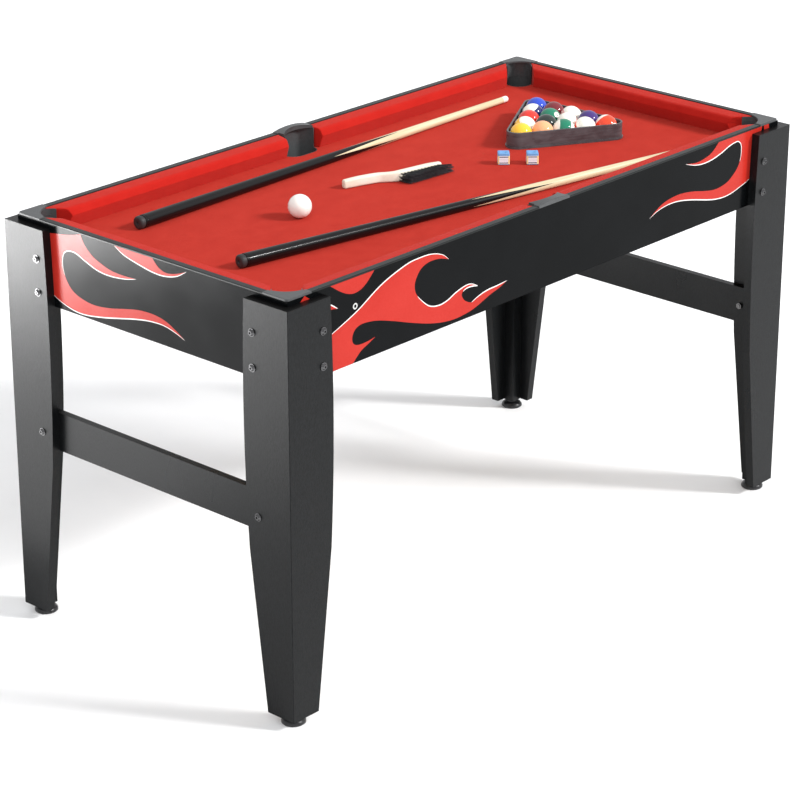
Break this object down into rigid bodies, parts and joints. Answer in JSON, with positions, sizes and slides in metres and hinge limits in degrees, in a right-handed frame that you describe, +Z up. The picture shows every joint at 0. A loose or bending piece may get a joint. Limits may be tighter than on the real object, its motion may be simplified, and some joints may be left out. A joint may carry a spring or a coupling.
{
  "type": "pool table",
  "caption": "Home pool table with six pockets, folded board legs, end stretchers, red cloth, printed aprons, levelling feet, cues, rack, balls, brush and chalk.",
  "frame": {"origin": "on the floor under the middle of the table", "axes": "+X along the table's length, +Y across it, +Z up"},
  "size_m": [1.2278, 0.6168, 0.686],
  "materials": {
    "leg_laminate": "black fine-textured laminate on fibreboard",
    "foot_rubber": "moulded black plastic",
    "zinc_steel": "zinc plated",
    "apron_film": "black printed film on fibreboard",
    "nickel": "nickel plated",
    "trim_plastic": "satin black moulding",
    "fibreboard": "bare medium-density fibreboard",
    "red_cloth": "short napped red cloth",
    "pocket_plastic": "moulded black plastic, satin",
    "black_steel": "black oxide steel",
    "cue_wood": "varnished maple shaft and black lacquered butt",
    "bumper_rubber": "black rubber",
    "ferrule_plastic": "white plastic ferrule",
    "cue_ball_resin": "polished ivory white resin",
    "ball_resin": "polished coloured resin, plain and banded",
    "rack_plastic": "satin black plastic",
    "brush_wood": "pale varnished wood",
    "brush_hair": "black bristle",
    "chalk": "blue chalk"
  },
  "bodies": {
    "table": {"apron_eyelet": "nickel", "apron_far": "apron_film", "apron_left": "apron_film", "apron_near": "apron_film", "apron_right": "apron_film", "assembly_bolts": "black_steel", "assembly_nuts": "black_steel", "assembly_washers": "black_steel", "bed_braces": "fibreboard", "bed_cleats": "fibreboard", "bed_cloth": "red_cloth", "bed_panel": "fibreboard", "corner_pocket_far_left": "pocket_plastic", "corner_pocket_far_right": "pocket_plastic", "corner_pocket_near_left": "pocket_plastic", "corner_pocket_near_right": "pocket_plastic", "cushion_far_left": "red_cloth", "cushion_far_right": "red_cloth", "cushion_left": "red_cloth", "cushion_near_left": "red_cloth", "cushion_near_right": "red_cloth", "cushion_right": "red_cloth", "leg_far_left": "leg_laminate", "leg_far_right": "leg_laminate", "leg_glue_blocks": "leg_laminate", "leg_near_left": "leg_laminate", "leg_near_right": "leg_laminate", "rail_cores": "fibreboard", "rail_trim_far": "trim_plastic", "rail_trim_left": "trim_plastic", "rail_trim_near": "trim_plastic", "rail_trim_right": "trim_plastic", "side_pocket_far": "pocket_plastic", "side_pocket_near": "pocket_plastic", "stretcher_left": "leg_laminate", "stretcher_right": "leg_laminate"},
    "far_cue": {"far_cue_bumper": "bumper_rubber", "far_cue_stick": "cue_wood", "far_cue_ferrule": "ferrule_plastic"},
    "near_cue": {"near_cue_bumper": "bumper_rubber", "near_cue_stick": "cue_wood", "near_cue_ferrule": "ferrule_plastic"},
    "cue_ball": {"cue_ball": "cue_ball_resin"},
    "rack": {"rack": "rack_plastic"},
    "object_balls": {"object_balls": "ball_resin"},
    "brush": {"brush_handle": "brush_wood", "brush_bristles": "brush_hair"},
    "chalk_left": {"chalk_left": "chalk"},
    "chalk_right": {"chalk_right": "chalk"},
    "foot_stud_near_left": {"foot_stud_near_left": "zinc_steel"},
    "foot_pad_near_left": {"foot_pad_near_left": "foot_rubber"},
    "foot_stud_near_right": {"foot_stud_near_right": "zinc_steel"},
    "foot_pad_near_right": {"foot_pad_near_right": "foot_rubber"},
    "foot_stud_far_left": {"foot_stud_far_left": "zinc_steel"},
    "foot_pad_far_left": {"foot_pad_far_left": "foot_rubber"},
    "foot_stud_far_right": {"foot_stud_far_right": "zinc_steel"},
    "foot_pad_far_right": {"foot_pad_far_right": "foot_rubber"}
  },
  "joints": [
    {"name": "foot_height_near_left", "type": "slide", "parent": "table", "child": "foot_stud_near_left", "axis": [0, 0, -1], "range_m": [0, 0.01]},
    {"name": "foot_turn_near_left", "type": "hinge", "parent": "foot_stud_near_left", "child": "foot_pad_near_left", "pos_m": [-0.5855, -0.28, 0.008], "axis": [0, 0, -1], "range_deg": [0, 2880]},
    {"name": "foot_height_near_right", "type": "slide", "parent": "table", "child": "foot_stud_near_right", "axis": [0, 0, -1], "range_m": [0, 0.01]},
    {"name": "foot_turn_near_right", "type": "hinge", "parent": "foot_stud_near_right", "child": "foot_pad_near_right", "pos_m": [0.5855, -0.28, 0.008], "axis": [0, 0, -1], "range_deg": [0, 2880]},
    {"name": "foot_height_far_left", "type": "slide", "parent": "table", "child": "foot_stud_far_left", "axis": [0, 0, -1], "range_m": [0, 0.01]},
    {"name": "foot_turn_far_left", "type": "hinge", "parent": "foot_stud_far_left", "child": "foot_pad_far_left", "pos_m": [-0.5855, 0.28, 0.008], "axis": [0, 0, -1], "range_deg": [0, 2880]},
    {"name": "foot_height_far_right", "type": "slide", "parent": "table", "child": "foot_stud_far_right", "axis": [0, 0, -1], "range_m": [0, 0.01]},
    {"name": "foot_turn_far_right", "type": "hinge", "parent": "foot_stud_far_right", "child": "foot_pad_far_right", "pos_m": [0.5855, 0.28, 0.008], "axis": [0, 0, -1], "range_deg": [0, 2880]},
    {"name": "far_cue_lift", "type": "slide", "parent": "table", "child": "far_cue", "axis": [0, 0, 1], "range_m": [0, 0.15]},
    {"name": "near_cue_lift", "type": "slide", "parent": "table", "child": "near_cue", "axis": [0, 0, 1], "range_m": [0, 0.15]},
    {"name": "cue_ball_lift", "type": "slide", "parent": "table", "child": "cue_ball", "axis": [0, 0, 1], "range_m": [0, 0.15]},
    {"name": "rack_lift", "type": "slide", "parent": "table", "child": "rack", "axis": [0, 0, 1], "range_m": [0, 0.15]},
    {"name": "object_balls_lift", "type": "slide", "parent": "table", "child": "object_balls", "axis": [0, 0, 1], "range_m": [0, 0.15]},
    {"name": "brush_lift", "type": "slide", "parent": "table", "child": "brush", "axis": [0, 0, 1], "range_m": [0, 0.15]},
    {"name": "chalk_left_lift", "type": "slide", "parent": "table", "child": "chalk_left", "axis": [0, 0, 1], "range_m": [0, 0.15]},
    {"name": "chalk_right_lift", "type": "slide", "parent": "table", "child": "chalk_right", "axis": [0, 0, 1], "range_m": [0, 0.15]}
  ],
  "couplings": [
    {"joint": "foot_height_near_left", "follows": "foot_turn_near_left", "m_per_rad": 0.00019894},
    {"joint": "foot_height_near_right", "follows": "foot_turn_near_right", "m_per_rad": 0.00019894},
    {"joint": "foot_height_far_left", "follows": "foot_turn_far_left", "m_per_rad": 0.00019894},
    {"joint": "foot_height_far_right", "follows": "foot_turn_far_right", "m_per_rad": 0.00019894}
  ]
}
